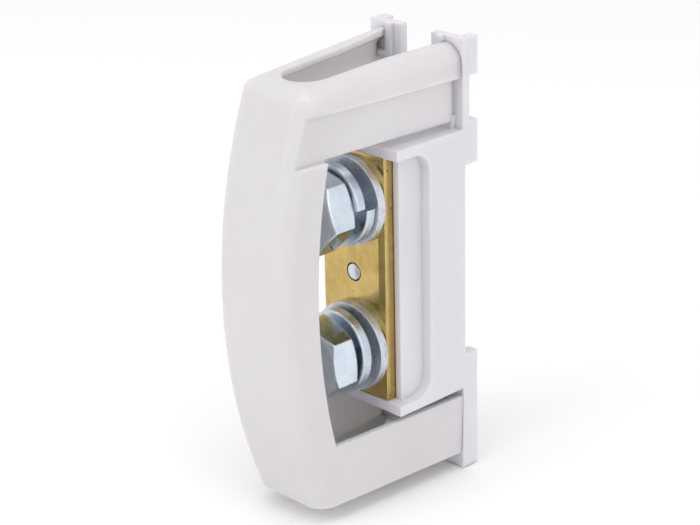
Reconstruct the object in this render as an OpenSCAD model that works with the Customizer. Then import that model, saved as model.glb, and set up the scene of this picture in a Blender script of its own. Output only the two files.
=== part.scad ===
// Rail-mounted power distribution block: a moulded base that clips on a 35 mm top-hat rail,
// a brass busbar with two bolted terminals, and an arched cover that bridges them.
// Millimetres. X runs along the rail, +Y points into the rail, +Z is up.
// The origin is the centre of the rail seat.

/* [Rail] */
// Width of the top-hat rail
rail_width = 35; // [32:0.5:36]
// Play between the rail and the two feet, both edges together
rail_clearance = 0.4; // [0.2:0.1:1]
// Thickness of the rail's brim
rail_thickness = 1; // [0.8:0.1:1.4]
// Play behind the brim
hook_play = 0.25; // [0.1:0.05:0.5]
// How far each hook reaches behind the brim
hook_reach = 1.3; // [0.8:0.1:1.6]
// Length of each hook along the rail
hook_length = 12; // [8:0.5:13]
// Height of the bar that carries each hook
hook_bar_height = 3; // [2:0.1:3.5]
// Lead-in chamfer on the hooks
hook_chamfer = 0.8; // [0.4:0.1:1]
// Height of the slot that lets the upper hook spring
spring_slot_height = 1.6; // [1:0.1:2]

/* [Base] */
// Width of the base along the rail
base_width = 21.8; // [20:0.1:26]
// Height of the base across the rail
base_height = 80; // [79:0.5:90]
// Thickness of the two side flanges
flange_thickness = 2; // [1.6:0.1:2.4]
// Depth of the feet behind the rail seat
foot_depth = 3.1; // [2.8:0.1:4]
// Thickness of the back plate
plate_thickness = 1.55; // [1.2:0.05:2]
// Distance of the plate's front from the rail seat
plate_front = 0.5; // [0.3:0.1:0.8]
// Height of the foot above the rail
upper_foot_height = 7.7; // [6:0.1:9]
// Height of the notch in the flange above that foot
notch_height = 8; // [6:0.1:9]
// Width of the gap between the two posts at the top
post_gap_width = 7.2; // [5:0.1:9]
// Depth of that gap
post_gap_depth = 9; // [6:0.5:12]

/* [Pedestal] */
// Height of the pedestal that carries the busbar
pedestal_height = 48.3; // [46:0.1:50]
// Distance of the pedestal's front from the rail seat
pedestal_reach = 16.5; // [15:0.1:18]
// Thickness of the two lips that hold the busbar's ends
lip_thickness = 1.85; // [1.5:0.05:2.2]
// Distance of the pedestal's face behind the lips
face_set_back = 2.2; // [1.8:0.1:2.6]
// Depth of the recess in each side
side_recess_depth = 2; // [1:0.1:2.2]
// Distance of the recess's rear edge from the rail seat
side_recess_start = 8.8; // [8:0.1:10]
// Radius of the recess's rear corners
side_recess_radius = 3.5; // [2:0.1:5]
// Thickness of the wall behind the busbar
bar_backing = 2; // [1.5:0.1:2.5]
// Width of the two pockets in the back of the pedestal
rear_pocket_width = 13.2; // [12:0.1:13.4]
// Thickness of the web between those pockets
rear_web_thickness = 5.5; // [5:0.1:7]

/* [Busbar] */
// Width of the busbar
bar_width = 15; // [14:0.1:15.6]
// Thickness of the busbar
bar_thickness = 5; // [4:0.1:5.5]
// Distance between the two terminals
terminal_pitch = 27; // [24:0.5:27.5]
// Width of the sloped border round the busbar's face
bar_border_width = 1.4; // [0.8:0.1:2]
// Drop of that border at the busbar's edge
bar_border_drop = 0.2; // [0.1:0.05:0.4]
// Diameter of the pin that holds the busbar to the base
pin_diameter = 2.9; // [2.5:0.1:4]
// Ring gap round the pin in the busbar
pin_ring_gap = 0.25; // [0.1:0.05:0.4]
// Depth of the pin in the base, behind the busbar
pin_depth = 6; // [3:0.5:7]
// Height of the pin's domed end above the busbar
pin_dome_height = 0.25; // [0.1:0.05:0.5]

/* [Fasteners] */
// Thread diameter of the terminal bolts
bolt_diameter = 8; // [6:1:8]
// Length of the bolts below the head
bolt_length = 16; // [16:1:20]
// Width of the bolt head across its flats
head_across_flats = 13; // [10:0.5:13.5]
// Height of the bolt head
head_height = 5.3; // [4:0.1:5.5]
// Angle of the chamfers on the head's corners
head_chamfer_angle = 30; // [20:1:35]
// Chamfer on the bolt's end
bolt_tip_chamfer = 1; // [0.5:0.1:1.2]
// Turn of the upper bolt's nearest flat
upper_head_turn = 17; // [0:1:60]
// Turn of the lower bolt's nearest flat
lower_head_turn = 8; // [0:1:60]
// Outer diameter of the flat washers
flat_washer_diameter = 16; // [15:0.1:16.4]
// Thickness of the flat washers
flat_washer_thickness = 1.6; // [1:0.1:2]
// Outer diameter of the spring washers
spring_washer_diameter = 14.8; // [13:0.1:15]
// Thickness of the spring washers' wire
spring_washer_thickness = 2; // [1.6:0.1:2.2]
// Rise of a spring washer from one end to the other
spring_washer_rise = 2.3; // [1.5:0.1:2.5]
// Angle of the split between the spring washer's ends
spring_split_angle = 4; // [2:0.5:14]
// Turn of the upper spring washer's split
upper_split_turn = 5; // [-180:1:180]
// Turn of the lower spring washer's split
lower_split_turn = -110; // [-180:1:180]
// Gap between the bolt and the holes that it passes
bolt_clearance = 0.15; // [0.1:0.05:0.3]
// Widening of the holes behind the busbar
bolt_relief = 0.5; // [0.3:0.1:0.8]

/* [Cover] */
// Distance of the bow's front from the rail seat
cover_reach = 40.95; // [39:0.05:44]
// Radius of the bow's front in side view
bow_radius = 97.5; // [90:0.5:120]
// Width of the bow at its front
bow_width = 16.6; // [15:0.1:18]
// Radius of the bow's front corners and of the top's front edge
edge_radius = 3.5; // [2.5:0.1:4]
// Radius of the top's side edges
shoulder_radius = 3.4; // [2.5:0.1:4]
// Radius of the same edges inside the cover
inner_shoulder_radius = 4.5; // [2:0.1:5]
// How far the ball on each front corner of the top stands out past the round edges
corner_rise = 0.2; // [0.1:0.05:0.5]
// Depth of the bow's sides at mid height
bow_depth = 7.7; // [7:0.1:9]
// Radius of the window's front edge
window_radius = 106; // [98:1:130]
// Height of the side windows
window_height = 51.2; // [50.4:0.1:52.4]
// Wall thickness of the cover
cover_wall = 1; // [0.8:0.1:1.4]
// Distance of the cover's underside below the rail centre
cover_drop = 37; // [35:0.1:39]
// Height of the cover's top above the rail centre, at its front
cover_rise = 37.2; // [36.5:0.1:38]
// Slope of the cover's top, in degrees
top_slope = 3.2; // [2:0.1:3.6]
// How far a round edge stops short of running into its two faces
edge_bite = 0.03; // [0.01:0.01:0.1]
// Width of the cable slots at their closed end
slot_width = 9; // [8:0.1:10]
// Width of the upper cable slot where its flare starts
upper_mouth_width = 9.8; // [9.4:0.1:11]
// Width of the lower cable slot where its flare starts
lower_mouth_width = 11; // [10:0.1:12]
// Distance of the slots' closed end from the rail seat
slot_reach = 30.3; // [28:0.1:31]
// Depth of the flare at the rear of the upper slot
upper_flare_depth = 12.4; // [8:0.1:14]
// Depth of the flare at the rear of the lower slot
lower_flare_depth = 4; // [3:0.1:5]
// Width of the lower slot's flare at the back plate
lower_flare_width = 17; // [15:0.1:17.4]
// Depth of the panel sunk in the upper arm's sides, at the arm's end
panel_rear_depth = 1.2; // [0.8:0.1:1.4]
// Depth of that panel at the bow
panel_front_depth = 0.7; // [0.5:0.1:1]
// Height of that panel above the window
panel_height = 7.6; // [6:0.1:8]
// Drop of the panel's ledge on the bow below the window's upper edge
panel_ledge_drop = 0.4; // [0.2:0.1:1]

/* [Cover guides] */
// Thickness of the ribs that guide the cover's arms
guide_thickness = 1.4; // [1.2:0.1:1.8]
// Distance between the outer faces of the two ribs
guide_spread = 13.4; // [12:0.1:14]
// Depth of the ribs
guide_depth = 0.9; // [0.7:0.1:1.2]
// Height of the lower ribs below the pedestal
lower_guide_height = 8.8; // [7:0.1:10]
// Diameter of the round lugs beside the ribs
lug_diameter = 1.1; // [1:0.1:1.4]
// Distance of the upper lugs above the rail centre
upper_lug_rise = 34.4; // [33.8:0.1:35]
// Distance of the lower lugs below the rail centre
lower_lug_drop = 31; // [29:0.1:32]
// Gap between the lugs' ends and the cover's walls
lug_gap = 0.5; // [0.4:0.1:1]
// Height of the blocks behind the panels' lower ends
stop_height = 2.3; // [2:0.05:3]
// Gap between parts that slide or seat together
fit_gap = 0.12; // [0.08:0.02:0.2]

/* [Hidden] */
$fn = 96;

// How far a cut runs past the face that it opens
margin = base_width / 20;

base_half = base_width / 2;
top_z = base_height / 2;
rail_half = (rail_width + rail_clearance) / 2;
plate_front_y = -plate_front;
plate_rear_y = plate_front_y + plate_thickness;
flange_inner_x = base_half - flange_thickness;

pedestal_half = pedestal_height / 2;
pedestal_front_y = -pedestal_reach;
face_y = pedestal_front_y + face_set_back;
between_lips = pedestal_half - lip_thickness;
recess_inner_x = base_half - side_recess_depth;

bar_rear_y = pedestal_front_y + bar_thickness;
bar_half_length = between_lips - fit_gap;
terminal_z = terminal_pitch / 2;
backing_rear_y = bar_rear_y + bar_backing;
hook_root_z = rail_half + hook_bar_height;

washer_front_y = pedestal_front_y - flat_washer_thickness;
spring_front_y = washer_front_y - spring_washer_thickness - spring_washer_rise;
bolt_hole_diameter = bolt_diameter + 2 * bolt_clearance;

cover_rear_y = plate_front_y - fit_gap;
bow_centre_y = bow_radius - cover_reach;
bow_half = bow_width / 2;
window_half = window_height / 2;
// The cover's sides widen from the bow to the arms' ends, which are flush with the base
arm_end_radius = norm([cover_rear_y - bow_centre_y, window_half]);
side_taper = (base_half - bow_half) / (bow_radius - arm_end_radius);
taper_angle = atan(side_taper);
window_front_y = bow_depth - cover_reach;
slope = tan(top_slope);
panel_top_z = window_half + panel_height;
panel_ledge_z = window_half - panel_ledge_drop;
guide_front_y = plate_front_y - guide_depth;
lug_y = plate_front_y - guide_depth / 2;
// The panels end in front of the lugs, which the cover slides over
panel_rear_y = lug_y - lug_diameter / 2 - fit_gap;
panel_front_y = edge_radius - cover_reach;
// The upper slot's flare passes the front corners of the guide ribs
flare_at_guides = (upper_flare_depth + fit_gap - guide_depth) / upper_flare_depth;
upper_flare_width = upper_mouth_width + (guide_spread + 2 * fit_gap - upper_mouth_width) / flare_at_guides;

// Slant length of the cover's sloped top per millimetre of depth
top_slant = 1 / cos(top_slope);

// Half width of the cover's outer side at a radius from the bow's centre
function side_half(radius) = bow_half + side_taper * (bow_radius - radius);
// Half width of the cover's outer side at a point in side view
function side_x(y, z) = side_half(norm([y - bow_centre_y, z]));
// Half width between the panels' flat faces
panel_rear_x = side_x(panel_rear_y, panel_top_z) - panel_rear_depth;
panel_front_x = side_x(panel_front_y, panel_top_z) - panel_front_depth;
panel_taper = (panel_rear_x - panel_front_x) / (panel_rear_y - panel_front_y);
function panel_x(y) = panel_rear_x + panel_taper * (y - panel_rear_y);
// Height of the cover's sloped top
function top_height(y) = cover_rise + slope * (y + cover_reach - bow_depth);
// Side view of the point that lies a radius inside both the bow's front and the lowered top
function corner_centre(lowering, radius, front_radius) = let (
        level = top_height(0) - (lowering + radius) * top_slant,
        inner = front_radius - radius,
        half_b = level * slope - bow_centre_y,
        rest = bow_centre_y * bow_centre_y + level * level - inner * inner,
        y = (-half_b - sqrt(half_b * half_b - top_slant * top_slant * rest)) / (top_slant * top_slant))
    [y, level + slope * y];
// Half width of the line that lies a radius inside a side, at a radius from the bow's centre
function inner_half(at_radius, inset, radius) = side_half(at_radius) - inset - radius / cos(taper_angle);

// Shared shapes

module box_between(low, high) {
    translate(low) cube(high - low);
}

module both_sides() {
    children();
    mirror([1, 0, 0]) children();
}

// A profile drawn as (y, z) and run along X over a width that is centred on the origin
module along_rail(width) {
    translate([-width / 2, 0, 0]) rotate([90, 0, 90]) linear_extrude(width) children();
}

// A round bar along Y, from one depth to another
module rod_y(diameter, from_y, to_y) {
    translate([0, to_y, 0]) rotate([90, 0, 0]) cylinder(d = diameter, h = to_y - from_y);
}

// A profile drawn as (radius, x) and swept about the bow's centre line
module about_bow() {
    sweep = 90;
    translate([0, bow_centre_y, 0]) rotate([-90, 0, 0]) rotate([0, 90, 0])
        rotate([0, 0, -sweep / 2]) rotate_extrude(angle = sweep) children();
}

// Base

module plate_and_flanges() {
    difference() {
        union() {
            box_between([-base_half, plate_front_y, -top_z], [base_half, plate_rear_y, top_z]);
            both_sides() box_between([flange_inner_x, plate_front_y, -top_z], [base_half, foot_depth, top_z]);
        }
        // seat of the rail
        box_between([-base_half - margin, 0, -rail_half],
                    [base_half + margin, foot_depth + margin, rail_half]);
        // notch in the flanges above the upper foot
        notch_z = rail_half + upper_foot_height;
        box_between([-base_half - margin, plate_rear_y, notch_z],
                    [base_half + margin, foot_depth + margin, notch_z + notch_height]);
        // gap between the two posts
        box_between([-post_gap_width / 2, plate_front_y - margin, top_z - post_gap_depth],
                    [post_gap_width / 2, plate_rear_y + margin, top_z + margin]);
    }
}

// Hook behind the rail's lower brim; the upper one is its mirror image
module rail_hook() {
    brim_y = rail_thickness + hook_play;
    tip_z = hook_reach - rail_half;
    along_rail(hook_length) polygon([
        [0, -hook_root_z],
        [foot_depth, -hook_root_z],
        [foot_depth, tip_z - hook_chamfer],
        [foot_depth - hook_chamfer, tip_z],
        [brim_y, tip_z],
        [brim_y, -rail_half],
        [0, -rail_half]]);
}

// Outline of the recess in each side, open to the front
module side_recess_outline() {
    start_y = -side_recess_start;
    centre_y = start_y - side_recess_radius;
    centre_z = between_lips - side_recess_radius;
    front_y = pedestal_front_y - margin;
    translate([front_y, -between_lips]) square([centre_y - front_y, 2 * between_lips]);
    translate([front_y, -centre_z]) square([start_y - front_y, 2 * centre_z]);
    for (side = [-1, 1]) translate([centre_y, side * centre_z]) circle(side_recess_radius);
}

module pedestal() {
    difference() {
        box_between([-base_half, pedestal_front_y, -pedestal_half],
                    [base_half, plate_rear_y - plate_thickness / 2, pedestal_half]);
        // rail seat, level with the flanges
        box_between([-base_half - margin, 0, -rail_half], [base_half + margin, foot_depth, rail_half]);
        // face between the lips
        box_between([-base_half - margin, pedestal_front_y - margin, -between_lips],
                    [base_half + margin, face_y, between_lips]);
        both_sides() translate([recess_inner_x + base_half / 2, 0, 0])
            along_rail(base_half) side_recess_outline();
        // seat of the busbar
        box_between([-bar_width / 2 - fit_gap, pedestal_front_y - margin, -between_lips],
                    [bar_width / 2 + fit_gap, bar_rear_y, between_lips]);
    }
}

module cover_guides() {
    outer_x = guide_spread / 2;
    both_sides() {
        box_between([outer_x - guide_thickness, guide_front_y, pedestal_half],
                    [outer_x, plate_front_y, top_z]);
        box_between([outer_x - guide_thickness, guide_front_y, -pedestal_half - lower_guide_height],
                    [outer_x, plate_front_y, -pedestal_half]);
        for (lug_z = [upper_lug_rise, -lower_lug_drop]) {
            lug_end = side_x(lug_y, lug_z) - cover_wall - lug_gap;
            translate([outer_x - guide_thickness / 2, lug_y, lug_z]) rotate([0, 90, 0])
                cylinder(d = lug_diameter, h = lug_end - outer_x + guide_thickness / 2);
        }
        // blocks behind the panels' lower ends, within their outer faces
        box_between([outer_x - guide_thickness / 2, panel_rear_y + fit_gap, pedestal_half],
                    [panel_rear_x - 2 * fit_gap, plate_front_y, pedestal_half + stop_height]);
    }
}

module base_cuts() {
    pocket_half = rear_pocket_width / 2;
    for (side = [-1, 1]) {
        low_z = side > 0 ? rear_web_thickness / 2 : -hook_root_z;
        high_z = side > 0 ? hook_root_z : -rear_web_thickness / 2;
        box_between([-pocket_half, backing_rear_y, low_z], [pocket_half, plate_front_y, high_z]);
        // the pocket opens into the rail seat
        box_between([-pocket_half, plate_front_y - margin, max(low_z, -rail_half)],
                    [pocket_half, margin, min(high_z, rail_half)]);
        translate([0, 0, side * terminal_z])
            rod_y(bolt_hole_diameter + 2 * bolt_relief, bar_rear_y - margin, backing_rear_y + margin);
    }
    rod_y(pin_diameter + 2 * fit_gap, bar_rear_y - margin, bar_rear_y + pin_depth + fit_gap);
    // slot that frees the upper hook's bar
    box_between([-pocket_half, backing_rear_y, hook_root_z],
                [pocket_half, plate_rear_y + margin, hook_root_z + spring_slot_height]);
}

module base() {
    color([0.86, 0.86, 0.88]) difference() {
        union() {
            plate_and_flanges();
            pedestal();
            cover_guides();
            rail_hook();
            mirror([0, 0, 1]) rail_hook();
        }
        base_cuts();
    }
}

// Cover

// What a round edge takes off between two faces, given the directions that they face
module edge_cut(centre, first, second, radius) {
    difference() {
        polygon([centre, centre + 2 * radius * first, centre + 3 * radius * (first + second),
                 centre + 2 * radius * second]);
        translate(centre) circle(radius);
    }
}

// Section of the cover, drawn as (radius, x): tapered sides, and a front with round corners.
// The sides lie an inset inside the outer ones, and the front a lead behind the outer one.
module bow_section(inset, lead, radius) {
    root = bow_centre_y / 2;
    front = bow_radius - lead;
    set_in = radius - edge_bite;
    root_x = side_half(root) - inset;
    front_x = side_half(front) - inset;
    side_face = [sin(taper_angle), cos(taper_angle)];
    difference() {
        polygon([[root, -root_x], [front, -front_x], [front, front_x], [root, root_x]]);
        for (side = [0, 1]) mirror([0, side])
            edge_cut([front - set_in, inner_half(front - set_in, inset, set_in)], [1, 0], side_face, radius);
    }
}

// Side view of the cover without its bow, as (y, z)
module cover_side_view(drop, lowering, rear_y) {
    front_y = -2 * cover_reach;
    polygon([
        [front_y, -drop],
        [rear_y, -drop],
        [rear_y, top_height(rear_y) - lowering * top_slant],
        [front_y, top_height(front_y) - lowering * top_slant]]);
}

// What the round edge takes off along the front of the sloped top
module top_front_cut(lowering, radius, front_radius) {
    centre = corner_centre(lowering, radius - edge_bite, front_radius);
    outward = (centre - [bow_centre_y, 0]) / norm(centre - [bow_centre_y, 0]);
    along_rail(2 * base_width) edge_cut(centre, outward, [-sin(top_slope), cos(top_slope)], radius);
}

// What the round edge takes off along one side of the sloped top
module shoulder_cut(inset, lowering, radius, front_radius) {
    set_in = radius - edge_bite;
    centre = corner_centre(lowering, set_in, front_radius);
    front_x = inner_half(front_radius - set_in, inset, set_in);
    rear_z = top_height(0) - (lowering + set_in) * top_slant;
    rear_x = inner_half(norm([bow_centre_y, rear_z]), inset, set_in);
    lean = atan((front_x - rear_x) / centre[0]);
    run = 3 * cover_reach;
    translate([front_x, centre[0], centre[1]]) rotate([0, 0, -lean]) rotate([top_slope, 0, 0])
        translate([0, -cover_reach, 0]) difference() {
            cube([2 * radius, run, 2 * radius]);
            rotate([-90, 0, 0]) cylinder(r = radius, h = run);
        }
}

// What the ball takes off a front corner of the top, where three round edges meet
module corner_cut() {
    set_in = edge_radius - edge_bite;
    centre = corner_centre(0, set_in, bow_radius);
    front_x = inner_half(bow_radius - set_in, 0, set_in);
    translate([front_x, centre[0], centre[1]]) difference() {
        mirror([0, 1, 0]) cube(2 * edge_radius);
        sphere(edge_radius + corner_rise);
    }
}

// The cover's form, a wall inside its outer faces: a section swept along the bow, under a sloped top
module hood(wall, rear_y, side_radius) {
    front_radius = bow_radius - wall;
    difference() {
        intersection() {
            about_bow() bow_section(wall, wall, edge_radius - wall);
            along_rail(2 * base_width) cover_side_view(cover_drop - wall, wall, rear_y);
        }
        top_front_cut(wall, edge_radius - wall, front_radius);
        both_sides() shoulder_cut(wall, wall, side_radius, front_radius);
    }
}

// What lies outside the panels in the upper arm's sides, or outside their inner faces
module beside_panels(wall, rear_y, high_z) {
    front_y = -2 * cover_reach;
    low_z = panel_ledge_z - wall;
    front_x = panel_x(front_y) - wall;
    rear_x = panel_x(rear_y) - wall;
    both_sides() translate([0, 0, low_z]) linear_extrude(high_z - low_z)
        polygon([[front_x, front_y], [base_width, front_y], [base_width, rear_y], [rear_x, rear_y]]);
}

// Plan of a cable slot, as (x, y): a round closed end, straight sides and a flared mouth
module slot_plan(mouth_width, flare_depth, flare_width) {
    end_radius = slot_width / 2;
    end_y = end_radius - slot_reach;
    flare_y = cover_rear_y - flare_depth;
    translate([0, end_y]) circle(end_radius);
    polygon([[-end_radius, end_y], [end_radius, end_y], [mouth_width / 2, flare_y],
             [flare_width / 2, cover_rear_y], [flare_width / 2, margin],
             [-flare_width / 2, margin], [-flare_width / 2, cover_rear_y],
             [-mouth_width / 2, flare_y]]);
}

// Windows in both sides, bounded at the front by the bow's inner edge
module window_outline() {
    intersection() {
        translate([-cover_reach, -window_half]) square([cover_reach + margin, window_height]);
        translate([window_front_y + window_radius, 0]) circle(window_radius, $fn = 4 * $fn);
    }
}

module cover() {
    color([0.83, 0.82, 0.81]) difference() {
        difference() {
            hood(0, cover_rear_y, shoulder_radius);
            beside_panels(0, 2 * margin, panel_top_z);
            both_sides() corner_cut();
        }
        // the hollow widens behind the panels, where the lugs are
        difference() {
            hood(cover_wall, margin, inner_shoulder_radius);
            beside_panels(cover_wall, panel_rear_y, 2 * cover_rise);
        }
        along_rail(2 * base_width) window_outline();
        // gap behind the panels
        box_between([-base_width, panel_rear_y, panel_ledge_z], [base_width, margin, panel_top_z]);
        linear_extrude(2 * cover_rise) slot_plan(upper_mouth_width, upper_flare_depth, upper_flare_width);
        translate([0, 0, -2 * cover_drop]) linear_extrude(2 * cover_drop)
            slot_plan(lower_mouth_width, lower_flare_depth, lower_flare_width);
    }
}

// Busbar and its pin

module busbar() {
    half = bar_width / 2;
    front_y = pedestal_front_y;
    edge_y = front_y + bar_border_drop;
    length = 2 * bar_half_length;
    color([0.76, 0.62, 0.32]) difference() {
        intersection() {
            translate([0, 0, -bar_half_length]) linear_extrude(length) polygon([
                [-half, edge_y], [-half + bar_border_width, front_y], [half - bar_border_width, front_y],
                [half, edge_y], [half, bar_rear_y], [-half, bar_rear_y]]);
            along_rail(bar_width) polygon([
                [edge_y, -bar_half_length], [bar_rear_y, -bar_half_length], [bar_rear_y, bar_half_length],
                [edge_y, bar_half_length], [front_y, bar_half_length - bar_border_width],
                [front_y, bar_border_width - bar_half_length]]);
        }
        for (side = [-1, 1]) translate([0, 0, side * terminal_z])
            rod_y(bolt_hole_diameter, front_y - margin, bar_rear_y + margin);
        rod_y(pin_diameter + 2 * pin_ring_gap, front_y - margin, bar_rear_y + margin);
    }
}

module fixing_pin() {
    radius = pin_diameter / 2;
    // a shallow dome on a straight pin
    dome_radius = (radius * radius + pin_dome_height * pin_dome_height) / (2 * pin_dome_height);
    tip_y = pedestal_front_y - pin_dome_height;
    color([0.78, 0.8, 0.82]) intersection() {
        rod_y(pin_diameter, tip_y, bar_rear_y + pin_depth);
        translate([0, tip_y + dome_radius, 0]) sphere(dome_radius);
    }
}

// Fasteners, drawn along Z with the head up and the busbar's face at zero

module terminal(side) {
    translate([0, pedestal_front_y, side * terminal_z]) rotate([90, 0, 0]) children();
}

module bolt(turn) {
    seat = pedestal_front_y - spring_front_y;
    corner_radius = head_across_flats / sqrt(3);
    crown_radius = head_across_flats / 2 - fit_gap;
    chamfer_drop = (corner_radius - crown_radius) * tan(head_chamfer_angle);
    tip = seat - bolt_length;
    shank = bolt_diameter / 2;
    color([0.72, 0.75, 0.79]) union() {
        translate([0, 0, seat]) intersection() {
            rotate([0, 0, turn + 30]) cylinder(r = corner_radius, h = head_height, $fn = 6);
            rotate_extrude() polygon([
                [0, 0], [crown_radius, 0], [corner_radius, chamfer_drop],
                [corner_radius, head_height - chamfer_drop], [crown_radius, head_height], [0, head_height]]);
        }
        rotate_extrude() polygon([
            [0, tip], [shank - bolt_tip_chamfer, tip], [shank, tip + bolt_tip_chamfer],
            [shank, seat + head_height / 2], [0, seat + head_height / 2]]);
    }
}

module flat_washer() {
    color([0.74, 0.77, 0.8]) difference() {
        cylinder(d = flat_washer_diameter, h = flat_washer_thickness);
        translate([0, 0, -margin]) cylinder(d = bolt_hole_diameter, h = flat_washer_thickness + 2 * margin);
    }
}

// One turn of square wire, open at its split and sprung apart there
module spring_washer(split_turn) {
    steps = 72;
    inner = bolt_hole_diameter / 2;
    outer = spring_washer_diameter / 2;
    span = 360 - spring_split_angle;
    function ring(i) = let (
            angle = split_turn + spring_split_angle / 2 + span * i / steps,
            low = flat_washer_thickness + spring_washer_rise * (1 - i / steps),
            high = low + spring_washer_thickness,
            along = [cos(angle), sin(angle)])
        [[each along * inner, low], [each along * outer, low],
         [each along * outer, high], [each along * inner, high]];
    points = [for (i = [0:steps]) each ring(i)];
    sides = [for (i = [0:steps - 1], k = [0:3])
        [4 * i + k, 4 * i + (k + 1) % 4, 4 * i + 4 + (k + 1) % 4, 4 * i + 4 + k]];
    ends = [[3, 2, 1, 0], [for (k = [0:3]) 4 * steps + k]];
    color([0.7, 0.73, 0.77]) polyhedron(points, concat(sides, ends));
}

module upper_bolt() { terminal(1) bolt(upper_head_turn); }
module lower_bolt() { terminal(-1) bolt(lower_head_turn); }
module upper_spring_washer() { terminal(1) spring_washer(upper_split_turn); }
module lower_spring_washer() { terminal(-1) spring_washer(lower_split_turn); }
module upper_flat_washer() { terminal(1) flat_washer(); }
module lower_flat_washer() { terminal(-1) flat_washer(); }

base();
cover();
busbar();
fixing_pin();
upper_bolt();
lower_bolt();
upper_spring_washer();
lower_spring_washer();
upper_flat_washer();
lower_flat_washer();
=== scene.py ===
import math

import bmesh
import bpy
from mathutils import Matrix, Vector


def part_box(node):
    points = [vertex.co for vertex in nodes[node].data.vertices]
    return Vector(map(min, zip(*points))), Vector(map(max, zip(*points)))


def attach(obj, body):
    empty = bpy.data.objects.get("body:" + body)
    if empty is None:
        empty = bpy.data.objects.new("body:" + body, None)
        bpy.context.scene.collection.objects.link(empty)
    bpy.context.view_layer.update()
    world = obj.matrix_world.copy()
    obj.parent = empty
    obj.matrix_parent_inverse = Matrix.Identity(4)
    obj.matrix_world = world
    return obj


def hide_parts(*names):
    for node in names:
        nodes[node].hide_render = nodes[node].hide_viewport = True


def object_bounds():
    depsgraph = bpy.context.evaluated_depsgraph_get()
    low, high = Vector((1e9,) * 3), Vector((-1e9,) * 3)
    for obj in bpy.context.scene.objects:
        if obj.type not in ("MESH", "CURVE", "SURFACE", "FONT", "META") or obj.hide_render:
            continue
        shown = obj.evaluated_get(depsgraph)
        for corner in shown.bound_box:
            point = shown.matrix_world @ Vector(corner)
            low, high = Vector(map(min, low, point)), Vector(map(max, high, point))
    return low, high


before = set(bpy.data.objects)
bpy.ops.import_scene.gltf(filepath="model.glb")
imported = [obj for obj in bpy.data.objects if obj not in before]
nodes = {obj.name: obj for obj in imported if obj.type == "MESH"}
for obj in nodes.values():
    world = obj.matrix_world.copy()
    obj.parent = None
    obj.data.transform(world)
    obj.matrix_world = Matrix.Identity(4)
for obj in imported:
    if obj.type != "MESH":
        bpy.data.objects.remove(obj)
cad_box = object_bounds()
scene = bpy.context.scene
MM = 0.001


# Shader helpers

# Cosine of the turn of a rounded normal where an edge counts in full, and where it counts for nothing
EDGE_TURN = (0.80, 0.99)
EDGE_SAMPLES = 6
CORNER_SAMPLES = 10
# The Mix node's names for its kinds of value
MIX_TYPES = {"Color": "RGBA", "Vector": "VECTOR"}


def new_material(name):
    """A material with its node tree, Principled shader and object coordinates."""
    material = bpy.data.materials.new(name)
    material.use_nodes = True
    tree = material.node_tree
    shader = tree.nodes["Principled BSDF"]
    coords = tree.nodes.new("ShaderNodeTexCoord")
    return material, tree, shader, coords.outputs["Object"]


def stretched(tree, coords, scale, turn=0.0):
    """Object coordinates with their own scale along each axis, turned about Y by some degrees."""
    mapping = tree.nodes.new("ShaderNodeMapping")
    mapping.inputs["Rotation"].default_value = (0.0, math.radians(turn), 0.0)
    mapping.inputs["Scale"].default_value = scale
    tree.links.new(coords, mapping.inputs["Vector"])
    return mapping.outputs["Vector"]


def noise(tree, vector, scale=1.0, detail=2.0, roughness=0.5, distortion=0.0):
    """Soft random values, mostly between 0.3 and 0.7."""
    node = tree.nodes.new("ShaderNodeTexNoise")
    node.inputs["Scale"].default_value = scale
    node.inputs["Detail"].default_value = detail
    node.inputs["Roughness"].default_value = roughness
    node.inputs["Distortion"].default_value = distortion
    tree.links.new(vector, node.inputs["Vector"])
    return node.outputs["Fac"]


def ranged(tree, value, source, target=(0.0, 1.0)):
    """Maps a value from one range to another, clamped."""
    node = tree.nodes.new("ShaderNodeMapRange")
    node.inputs["From Min"].default_value, node.inputs["From Max"].default_value = source
    node.inputs["To Min"].default_value, node.inputs["To Max"].default_value = target
    tree.links.new(value, node.inputs["Value"])
    return node.outputs["Result"]


def math_node(tree, operation, first, second):
    """One operation on two values, each a number or an output."""
    node = tree.nodes.new("ShaderNodeMath")
    node.operation = operation
    for socket, value in zip(node.inputs, (first, second)):
        if isinstance(value, (int, float)):
            socket.default_value = value
        else:
            tree.links.new(value, socket)
    return node.outputs["Value"]


def added(tree, first, second):
    return math_node(tree, "ADD", first, second)


def times(tree, first, second):
    return math_node(tree, "MULTIPLY", first, second)


def less(tree, first, second):
    return math_node(tree, "SUBTRACT", first, second)


def by_identifier(sockets, identifier):
    """One of a Mix node's sockets, several of which share a name."""
    return next(socket for socket in sockets if socket.identifier == identifier)


def mixed(tree, factor, first, second, kind="Color"):
    """Mixes two colours or two vectors, each an output or an (r, g, b)."""
    node = tree.nodes.new("ShaderNodeMix")
    node.data_type = MIX_TYPES[kind]
    tree.links.new(factor, by_identifier(node.inputs, "Factor_Float"))
    for identifier, value in ((f"A_{kind}", first), (f"B_{kind}", second)):
        socket = by_identifier(node.inputs, identifier)
        if isinstance(value, tuple):
            socket.default_value = (*value, 1.0)
        else:
            tree.links.new(value, socket)
    return by_identifier(node.outputs, f"Result_{kind}")


def spots(tree, coords, scale, size, share):
    """A mask of small round spots, one to a cell, where the share lets them show."""
    cells = tree.nodes.new("ShaderNodeTexVoronoi")
    cells.inputs["Scale"].default_value = scale
    tree.links.new(coords, cells.inputs["Vector"])
    spot = ranged(tree, cells.outputs["Distance"], source=size, target=(1.0, 0.0))
    return times(tree, spot, share)


def places(tree, coords):
    """The X, Y and Z of object coordinates."""
    split = tree.nodes.new("ShaderNodeSeparateXYZ")
    tree.links.new(coords, split.inputs["Vector"])
    return split.outputs["X"], split.outputs["Y"], split.outputs["Z"]


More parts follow.
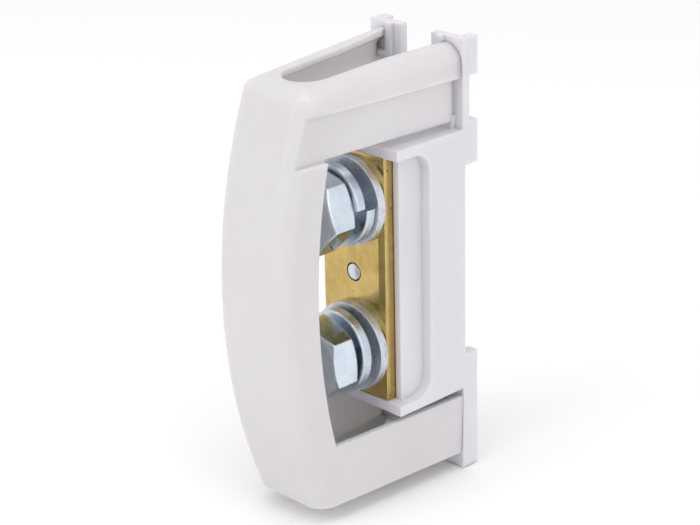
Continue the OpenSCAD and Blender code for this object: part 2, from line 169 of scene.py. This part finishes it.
def rounded_normal(tree, radius, samples=EDGE_SAMPLES):
    bevel = tree.nodes.new("ShaderNodeBevel")
    bevel.samples = samples
    bevel.inputs["Radius"].default_value = radius
    return bevel.outputs["Normal"]


def soft_edges(tree, radius):
    """Rounded normals near sharp edges, and a mask of those edges."""
    normal = rounded_normal(tree, radius)
    geometry = tree.nodes.new("ShaderNodeNewGeometry")
    dot = tree.nodes.new("ShaderNodeVectorMath")
    dot.operation = "DOT_PRODUCT"
    tree.links.new(normal, dot.inputs[0])
    tree.links.new(geometry.outputs["Normal"], dot.inputs[1])
    return normal, ranged(tree, dot.outputs["Value"], source=EDGE_TURN, target=(1.0, 0.0))


def painted_crevice_shade(tree, distance):
    """Painted shade: dark where a surface is deep in a corner, pale in the open."""
    node = tree.nodes.new("ShaderNodeAmbientOcclusion")
    node.samples = EDGE_SAMPLES
    node.inputs["Distance"].default_value = distance
    return node.outputs["AO"]


def bumped(tree, normal, height, distance, strength):
    node = tree.nodes.new("ShaderNodeBump")
    node.inputs["Distance"].default_value = distance
    node.inputs["Strength"].default_value = strength
    tree.links.new(height, node.inputs["Height"])
    tree.links.new(normal, node.inputs["Normal"])
    return node.outputs["Normal"]


# Moulded plastic

# Where the mask of the cover's upper front corners fades: away from the middle, in depth and in height
CORNER_ASIDE = (4.4 * MM, 5.6 * MM)
CORNER_FRONT = (-31.0 * MM, -27.0 * MM)
CORNER_HEIGHT = (23.5 * MM, 26.5 * MM)
# Heights over which the light let through grows to that of the cover's upper arm
GLOW_HEIGHTS = (8.0 * MM, 26.0 * MM)
PLASTIC_IOR = 1.5


def blended_corners(tree, coords, normal, radius):
    """Runs the round edges of the cover's two upper front corners softly into each other."""
    x, y, z = places(tree, coords)
    near = ranged(tree, math_node(tree, "ABSOLUTE", x, 0.0), source=CORNER_ASIDE)
    near = times(tree, near, ranged(tree, y, source=CORNER_FRONT, target=(1.0, 0.0)))
    near = times(tree, near, ranged(tree, z, source=CORNER_HEIGHT))
    return mixed(tree, near, normal, rounded_normal(tree, radius, CORNER_SAMPLES), kind="Vector")


def moulded_plastic(name, pale, deep, rubbed, dust_and_shade, roughness, edge_radius, glow, glow_radius,
                    corner_radius=None, upper_glow=None):
    """Satin thermoplastic: fine grain, slow shade drift, rubbed edges, painted shade in crevices, a few
    specks.
    """
    material, tree, shader, coords = new_material(name)
    drift = noise(tree, coords, scale=55.0, detail=3.0, roughness=0.55)
    cloud = noise(tree, coords, scale=320.0, detail=4.0, roughness=0.6)
    grain = noise(tree, coords, scale=5200.0, roughness=0.6)
    ripple = noise(tree, coords, scale=900.0)
    chosen = noise(tree, coords, scale=95.0, detail=1.0)
    speckled = ranged(tree, chosen, source=(0.62, 0.64), target=(0.0, 0.7))
    specks = spots(tree, coords, scale=160.0, size=(0.018, 0.03), share=speckled)
    normal, edges = soft_edges(tree, edge_radius)
    # Painted shade: crevices darkened by ambient occlusion towards the dust colour
    painted_hollow_shade = ranged(tree, painted_crevice_shade(tree, 1.5 * MM), source=(0.1, 0.6), target=(0.22, 0.0))

    body = mixed(tree, ranged(tree, drift, source=(0.35, 0.65)), pale, deep)
    body = mixed(tree, ranged(tree, cloud, source=(0.55, 0.8), target=(0.0, 0.35)), body, deep)
    body = mixed(tree, specks, body, dust_and_shade)
    # Painted shade in the crevices, in the same dark colour as the dust specks
    body = mixed(tree, painted_hollow_shade, body, dust_and_shade)
    body = mixed(tree, times(tree, edges, 0.5), body, rubbed)
    tree.links.new(body, shader.inputs["Base Color"])

    uneven = ranged(tree, cloud, source=(0.3, 0.7), target=(-0.05, 0.05))
    uneven = added(tree, uneven, ranged(tree, grain, source=(0.3, 0.7), target=(-0.03, 0.03)))
    polished = times(tree, edges, 0.08)
    tree.links.new(less(tree, added(tree, uneven, roughness), polished), shader.inputs["Roughness"])
    shader.inputs["IOR"].default_value = PLASTIC_IOR

    shader.inputs["Subsurface Weight"].default_value = glow
    shader.inputs["Subsurface Radius"].default_value = glow_radius
    shader.inputs["Subsurface Scale"].default_value = 1.0
    if upper_glow:
        height = places(tree, coords)[2]
        growing = ranged(tree, height, source=GLOW_HEIGHTS, target=(glow, upper_glow))
        tree.links.new(growing, shader.inputs["Subsurface Weight"])

    if corner_radius:
        normal = blended_corners(tree, coords, normal, corner_radius)
    normal = bumped(tree, normal, ripple, distance=0.02 * MM, strength=0.35)
    normal = bumped(tree, normal, grain, distance=0.012 * MM, strength=0.45)
    tree.links.new(normal, shader.inputs["Normal"])
    return material


# The dust colour serves both the real dust specks and the painted shade in crevices
cover_plastic = moulded_plastic(
    "cover_plastic",
    pale=(0.678, 0.648, 0.662),
    deep=(0.650, 0.620, 0.634),
    rubbed=(0.75, 0.72, 0.73),
    dust_and_shade=(0.30, 0.28, 0.26),
    roughness=0.38,
    edge_radius=0.25 * MM,
    glow=0.4,
    glow_radius=(4.4 * MM, 4.5 * MM, 3.9 * MM),
    corner_radius=1.7 * MM,
    upper_glow=0.9)
base_plastic = moulded_plastic(
    "base_plastic",
    pale=(0.727, 0.711, 0.752),
    deep=(0.698, 0.681, 0.722),
    rubbed=(0.80, 0.785, 0.82),
    dust_and_shade=(0.30, 0.285, 0.28),
    roughness=0.42,
    edge_radius=0.3 * MM,
    glow=0.5,
    glow_radius=(2.0 * MM, 1.9 * MM, 1.7 * MM))


# Brass

BRASS_CLEAN = (0.595, 0.44, 0.168)
BRASS_TARNISH = (0.46, 0.318, 0.093)
BRASS_STREAK = (0.66, 0.51, 0.225)
BRASS_FLECK = (0.26, 0.18, 0.06)
BRASS_SCRATCH = (0.82, 0.67, 0.36)
BRASS_PIT = (0.10, 0.068, 0.025)
BRASS_EDGE = (0.84, 0.69, 0.36)


def rolled_brass(name):
    """Drawn brass bar: lengthwise streaks, patches of tarnish, cross scratches, pits and bright edges."""
    material, tree, shader, coords = new_material(name)
    along = stretched(tree, coords, (2600.0, 900.0, 90.0))
    across = stretched(tree, coords, (2300.0, 700.0, 60.0), turn=38.0)
    streak = noise(tree, along, detail=4.0, roughness=0.6)
    patches = noise(tree, coords, scale=210.0, detail=5.0, roughness=0.62, distortion=0.4)
    fleck = noise(tree, coords, scale=1500.0, detail=3.0, roughness=0.7)
    scratch = ranged(tree, noise(tree, across, detail=3.0, roughness=0.7), source=(0.66, 0.74))
    pitted = ranged(tree, noise(tree, coords, scale=280.0, detail=3.0, roughness=0.6), source=(0.53, 0.58))
    pits = spots(tree, coords, scale=620.0, size=(0.08, 0.16), share=pitted)
    normal, edges = soft_edges(tree, 0.14 * MM)

    body = mixed(tree, ranged(tree, patches, source=(0.34, 0.68)), BRASS_CLEAN, BRASS_TARNISH)
    body = mixed(tree, ranged(tree, streak, source=(0.4, 0.7), target=(0.0, 0.35)), body, BRASS_STREAK)
    body = mixed(tree, ranged(tree, fleck, source=(0.64, 0.74), target=(0.0, 0.6)), body, BRASS_FLECK)
    body = mixed(tree, times(tree, scratch, 0.6), body, BRASS_SCRATCH)
    body = mixed(tree, times(tree, pits, 0.9), body, BRASS_PIT)
    body = mixed(tree, times(tree, edges, 0.6), body, BRASS_EDGE)
    tree.links.new(body, shader.inputs["Base Color"])
    shader.inputs["Metallic"].default_value = 1.0

    dull = ranged(tree, patches, source=(0.3, 0.7), target=(0.12, 0.22))
    drawn = ranged(tree, streak, source=(0.3, 0.7), target=(-0.03, 0.05))
    tree.links.new(added(tree, dull, drawn), shader.inputs["Roughness"])

    normal = bumped(tree, normal, streak, distance=0.012 * MM, strength=0.35)
    normal = bumped(tree, normal, scratch, distance=0.01 * MM, strength=0.4)
    normal = bumped(tree, normal, patches, distance=0.03 * MM, strength=0.1)
    normal = bumped(tree, normal, less(tree, 1.0, pits), distance=0.03 * MM, strength=0.5)
    tree.links.new(normal, shader.inputs["Normal"])
    return material


brass = rolled_brass("brass")


# Zinc plate

# Pale edge colour: rubbed wear, and partly a painted highlight along the edges
ZINC_EDGE_WEAR_AND_HIGHLIGHT = (0.90, 0.92, 0.94)


def zinc_plate(name, pale, blue, smoke_and_shade, roughness, edge_radius, cloudy, grain_scale, grain_height):
    """Bright zinc plate on steel: blue drift, dull blooms, a fine grain, tool marks, painted shade in
    hollows and rubbed edges with a painted highlight.
    """
    material, tree, shader, coords = new_material(name)
    tint = noise(tree, coords, scale=190.0, detail=3.0, roughness=0.55, distortion=0.3)
    bloom = noise(tree, coords, scale=620.0, detail=5.0, roughness=0.65)
    grain = noise(tree, coords, scale=grain_scale, roughness=0.6)
    marks = noise(tree, stretched(tree, coords, (260.0, 4200.0, 260.0)), detail=3.0, roughness=0.6)
    normal, edges = soft_edges(tree, edge_radius)
    # Painted shade: hollows darkened by ambient occlusion towards the smoke colour
    painted_hollow_shade = ranged(tree, painted_crevice_shade(tree, 2.0 * MM), source=(0.1, 0.6), target=(0.3, 0.0))

    body = mixed(tree, ranged(tree, tint, source=(0.36, 0.64)), pale, blue)
    body = mixed(tree, ranged(tree, bloom, source=(0.54, 0.76), target=(0.0, cloudy)), body, smoke_and_shade)
    body = mixed(tree, ranged(tree, grain, source=(0.58, 0.72), target=(0.0, cloudy)), body, smoke_and_shade)
    # Painted shade in the hollows
    body = mixed(tree, painted_hollow_shade, body, smoke_and_shade)
    # Edges lightened: rubbed wear, and partly a painted highlight
    body = mixed(tree, times(tree, edges, 0.55), body, ZINC_EDGE_WEAR_AND_HIGHLIGHT)
    tree.links.new(body, shader.inputs["Base Color"])
    shader.inputs["Metallic"].default_value = 1.0

    uneven = ranged(tree, bloom, source=(0.3, 0.75), target=(-0.2 * cloudy, 0.35 * cloudy))
    uneven = added(tree, uneven, ranged(tree, marks, source=(0.3, 0.7), target=(-0.03, 0.04)))
    tree.links.new(added(tree, uneven, roughness), shader.inputs["Roughness"])

    normal = bumped(tree, normal, marks, distance=0.01 * MM, strength=0.3)
    normal = bumped(tree, normal, grain, distance=grain_height, strength=0.4)
    tree.links.new(normal, shader.inputs["Normal"])
    return material


# The smoke colour serves both the real dull blooms and the painted shade in hollows
bolt_zinc = zinc_plate(
    "zinc_steel",
    pale=(0.70, 0.775, 0.84),
    blue=(0.60, 0.69, 0.79),
    smoke_and_shade=(0.36, 0.40, 0.44),
    roughness=0.14,
    edge_radius=0.55 * MM,
    cloudy=0.3,
    grain_scale=4200.0,
    grain_height=0.006 * MM)
spring_steel = zinc_plate(
    "spring_steel",
    pale=(0.64, 0.70, 0.77),
    blue=(0.50, 0.58, 0.68),
    smoke_and_shade=(0.36, 0.40, 0.46),
    roughness=0.31,
    edge_radius=0.3 * MM,
    cloudy=0.45,
    grain_scale=2600.0,
    grain_height=0.02 * MM)
washer_steel = zinc_plate(
    "washer_steel",
    pale=(0.71, 0.745, 0.795),
    blue=(0.59, 0.635, 0.70),
    smoke_and_shade=(0.38, 0.41, 0.45),
    roughness=0.48,
    edge_radius=0.2 * MM,
    cloudy=0.75,
    grain_scale=1900.0,
    grain_height=0.06 * MM)
pin_steel = zinc_plate(
    "pin_steel",
    pale=(0.76, 0.78, 0.80),
    blue=(0.66, 0.69, 0.73),
    smoke_and_shade=(0.40, 0.42, 0.44),
    roughness=0.30,
    edge_radius=0.3 * MM,
    cloudy=0.3,
    grain_scale=4200.0,
    grain_height=0.006 * MM)

for node_name, material in (
        ("cover", cover_plastic),
        ("base", base_plastic),
        ("busbar", brass),
        ("fixing_pin", pin_steel),
        ("upper_flat_washer", washer_steel),
        ("lower_flat_washer", washer_steel)):
    nodes[node_name].data.materials.clear()
    nodes[node_name].data.materials.append(material)


# Fasteners with their threads, drawn along Z in millimetres and set where their CAD nodes are

BAR_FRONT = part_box("busbar")[0].y / MM


def heights(node_name):
    """The lowest and highest place of a node, counted outwards from the busbar's face."""
    low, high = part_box(node_name)
    return BAR_FRONT - high.y / MM, BAR_FRONT - low.y / MM


def middle_height(node_name):
    low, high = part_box(node_name)
    return (low.z + high.z) / 2 / MM


TERMINAL = middle_height("upper_flat_washer")
WASHER = heights("upper_flat_washer")[1]
SEAT = heights("upper_spring_washer")[1]
TIP, CROWN = heights("upper_bolt")
LENGTH = SEAT - TIP

# Bolt head: a hexagon, chamfered at both ends, with a shallow dish in its crown
STEPS = 96
FLATS = 13.0
SIXTH = math.radians(60)
CHAMFER = math.radians(30)
CHAMFER_START = FLATS / 2 - 0.12
DISH_RIM = CHAMFER_START - 0.45
DISH_FLOOR = CHAMFER_START - 0.75
DISH_DEPTH = 0.03

# Bolt shank: an M8 thread, plain under the head and chamfered at the tip
THREAD = 4.0
SHANK = THREAD - 0.02
TIP_RADIUS = THREAD - 1.0
PLAIN_LENGTH = 1.0
PITCH = 1.25
THREAD_DEPTH = 0.61 * PITCH
FLANK_SLOPE = 1.25
CREST = 0.1
ROWS_IN_PITCH = 8
ROWS = int(LENGTH / PITCH * ROWS_IN_PITCH)

# Spring washer: square wire with eased edges, sprung open by its rise over one turn
WIRE = 2.0
RISE = SEAT - WASHER - WIRE
SPRING_INNER = 4.15
SPRING_OUTER = 7.4
SPRING_EASE = 0.22
SPRING_GAP = 4.0
SPRING_STEPS = 180

SHARP_ANGLE = math.radians(28)


def joined_rings(bm, rings):
    """Quads between successive closed rings of vertices, and a face on each end."""
    for low, high in zip(rings, rings[1:]):
        for i in range(len(low)):
            j = (i + 1) % len(low)
            bm.faces.new((low[i], low[j], high[j], high[i]))
    bm.faces.new(rings[0])
    bm.faces.new(rings[-1])


def finished_mesh(name, bm):
    bmesh.ops.recalc_face_normals(bm, faces=bm.faces)
    mesh = bpy.data.meshes.new(name)
    bm.to_mesh(mesh)
    bm.free()
    return mesh


def hexagon_radius(angle):
    """Radius of the head at an angle from the middle of a flat."""
    return FLATS / 2 / math.cos((angle + SIXTH / 2) % SIXTH - SIXTH / 2)


def thread_radius(level, share):
    """Radius of the shank at a height and a share of a turn: a helical cut, plain under the head."""
    if level > SEAT - PLAIN_LENGTH:
        return SHANK
    phase = (level / PITCH - share) % 1.0
    cut = min(1.0, max(0.0, FLANK_SLOPE * abs(2 * phase - 1) - CREST))
    return min(SHANK - THREAD_DEPTH * cut, TIP_RADIUS + level - TIP)


def bolt_mesh(name, turn):
    """A bolt from its tip to its crown, as one closed skin of rings."""
    bm = bmesh.new()
    shares = [i / STEPS for i in range(STEPS)]

    def ring(radii, levels):
        made = []
        for share, radius, level in zip(shares, radii, levels):
            angle = 2 * math.pi * share + math.radians(turn)
            made.append(bm.verts.new((radius * math.cos(angle), radius * math.sin(angle), level)))
        return made

    def round_ring(radius, level):
        return ring([radius] * STEPS, [level] * STEPS)

    rings = []
    for k in range(ROWS + 1):
        level = TIP + LENGTH * k / ROWS
        rings.append(ring([thread_radius(level, share) for share in shares], [level] * STEPS))
    flats = [hexagon_radius(2 * math.pi * share) for share in shares]
    chamfers = [max(0.0, radius - CHAMFER_START) * math.tan(CHAMFER) for radius in flats]
    rings += [
        round_ring(CHAMFER_START, SEAT),
        ring(flats, [SEAT + taken for taken in chamfers]),
        ring(flats, [CROWN - taken for taken in chamfers]),
        round_ring(CHAMFER_START, CROWN),
        round_ring(DISH_RIM, CROWN),
        round_ring(DISH_FLOOR, CROWN - DISH_DEPTH)]
    joined_rings(bm, rings)
    return finished_mesh(name, bm)


def spring_mesh(name, split_turn):
    """One sprung turn of square wire with eased edges and clean-cut ends."""
    bm = bmesh.new()
    ease, inner, outer = SPRING_EASE, SPRING_INNER, SPRING_OUTER
    section = [(inner, ease), (inner + ease, 0), (outer - ease, 0), (outer, ease),
               (outer, WIRE - ease), (outer - ease, WIRE), (inner + ease, WIRE), (inner, WIRE - ease)]
    loops = []
    for i in range(SPRING_STEPS + 1):
        share = i / SPRING_STEPS
        angle = math.radians(split_turn + SPRING_GAP / 2 + (360 - SPRING_GAP) * share)
        low = WASHER + RISE * (1 - share)
        corners = [(r * math.cos(angle), r * math.sin(angle), low + h) for r, h in section]
        loops.append([bm.verts.new(corner) for corner in corners])
    joined_rings(bm, loops)
    return finished_mesh(name, bm)


def set_piece(name, mesh, side, material, node_name):
    """Sets a mesh at a terminal, shades it and lets it stand for its CAD node."""
    outwards = Matrix.Rotation(math.radians(90), 4, "X")
    place = Matrix.Translation((0, BAR_FRONT, side * TERMINAL)) @ outwards
    mesh.transform(Matrix.Scale(MM, 4) @ place)
    mesh.polygons.foreach_set("use_smooth", [True] * len(mesh.polygons))
    mesh.set_sharp_from_angle(angle=SHARP_ANGLE)
    mesh.materials.append(material)
    piece = bpy.data.objects.new(name, mesh)
    scene.collection.objects.link(piece)
    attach(piece, "root")
    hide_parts(node_name)


# Name of each terminal, its side of the middle, and how far its head and its washer's split are turned
for label, side, head_turn, split_turn in (("upper", 1, 17, 5), ("lower", -1, 8, -110)):
    bolt = bolt_mesh(f"{label}_bolt_mesh", head_turn)
    set_piece(f"{label}_bolt_threaded", bolt, side, bolt_zinc, f"{label}_bolt")
    spring = spring_mesh(f"{label}_spring_mesh", split_turn)
    set_piece(f"{label}_spring_ring", spring, side, spring_steel, f"{label}_spring_washer")


# Stage: a pale floor that runs to a white surround

FLOOR_SIZE = 12.0
FLOOR_DROP = 0.2 * MM
FLOOR_PALE = (0.990, 0.990, 0.990)
FLOOR_DEEP = (0.970, 0.970, 0.970)
# Strength of the world as light on the object, and as the background that is seen
WORLD_LIGHT = 0.80
WORLD_SEEN = 1.0


def floor_material():
    material, tree, shader, coords = new_material("studio_floor")
    cloud = noise(tree, coords, scale=6.0)
    tree.links.new(mixed(tree, cloud, FLOOR_DEEP, FLOOR_PALE), shader.inputs["Base Color"])
    shader.inputs["Roughness"].default_value = 0.9
    shader.inputs["Specular IOR Level"].default_value = 0.1
    return material


bpy.ops.mesh.primitive_plane_add(size=FLOOR_SIZE, location=(0, 0, cad_box[0].z - FLOOR_DROP))
floor = bpy.context.object
floor.name = "floor"
floor.data.materials.append(floor_material())

world = bpy.data.worlds.new("studio")
scene.world = world
world.use_nodes = True
sky = world.node_tree
background = sky.nodes["Background"]
background.inputs["Color"].default_value = (1.0, 1.0, 1.0, 1.0)
path = sky.nodes.new("ShaderNodeLightPath")
seen = math_node(sky, "MAXIMUM", path.outputs["Is Camera Ray"], path.outputs["Is Transmission Ray"])
seen = math_node(sky, "MAXIMUM", seen, path.outputs["Is Glossy Ray"])
strength = ranged(sky, seen, source=(0.0, 1.0), target=(WORLD_LIGHT, WORLD_SEEN))
sky.links.new(strength, background.inputs["Strength"])


# Soft lamps, all aimed at the middle of the block

AIM = Vector((0, -0.02, 0))


def area_lamp(name, place, size, power):
    data = bpy.data.lights.new(name, "AREA")
    data.shape = "RECTANGLE"
    data.size, data.size_y = size
    data.energy = power
    lamp = bpy.data.objects.new(name, data)
    lamp.location = place
    lamp.rotation_euler = (AIM - Vector(place)).to_track_quat("-Z", "Y").to_euler()
    scene.collection.objects.link(lamp)


area_lamp("key", place=(-0.15, -0.8, 0.6), size=(0.6, 0.6), power=1.7)
area_lamp("overhead", place=(0.15, -0.2, 0.95), size=(0.7, 0.7), power=2.0)
area_lamp("side", place=(0.8, -0.1, 0.35), size=(0.4, 0.5), power=0.8)


# Camera at the photograph's angle

AZIMUTH = math.radians(46.019)
ELEVATION = math.radians(20.998)
ROLL = math.radians(-1.341)
CAMERA_PLACE = Vector((231.163, -240.331, 129.564)) * MM
FOCAL_PIXELS = 2013.0
WIDTH, HEIGHT = 700, 525
CENTRE_X, CENTRE_Y = 349.94, 238.95
SENSOR = 36.0
CLIP_START = 0.01

back = Vector((
    math.sin(AZIMUTH) * math.cos(ELEVATION),
    -math.cos(AZIMUTH) * math.cos(ELEVATION),
    math.sin(ELEVATION)))
level_right = Vector((math.cos(AZIMUTH), math.sin(AZIMUTH), 0))
level_up = back.cross(level_right)
right = math.cos(ROLL) * level_right + math.sin(ROLL) * level_up
up = -math.sin(ROLL) * level_right + math.cos(ROLL) * level_up

lens = bpy.data.cameras.new("camera")
lens.sensor_fit = "HORIZONTAL"
lens.sensor_width = SENSOR
lens.lens = SENSOR * FOCAL_PIXELS / WIDTH
lens.shift_x = (WIDTH / 2 - CENTRE_X) / WIDTH
lens.shift_y = (CENTRE_Y - HEIGHT / 2) / WIDTH
lens.clip_start = CLIP_START
camera = bpy.data.objects.new("camera", lens)
turned = Matrix((right, up, back)).transposed().to_4x4()
camera.matrix_world = Matrix.Translation(CAMERA_PLACE) @ turned
scene.collection.objects.link(camera)
scene.camera = camera

scene.view_settings.view_transform = "Standard"
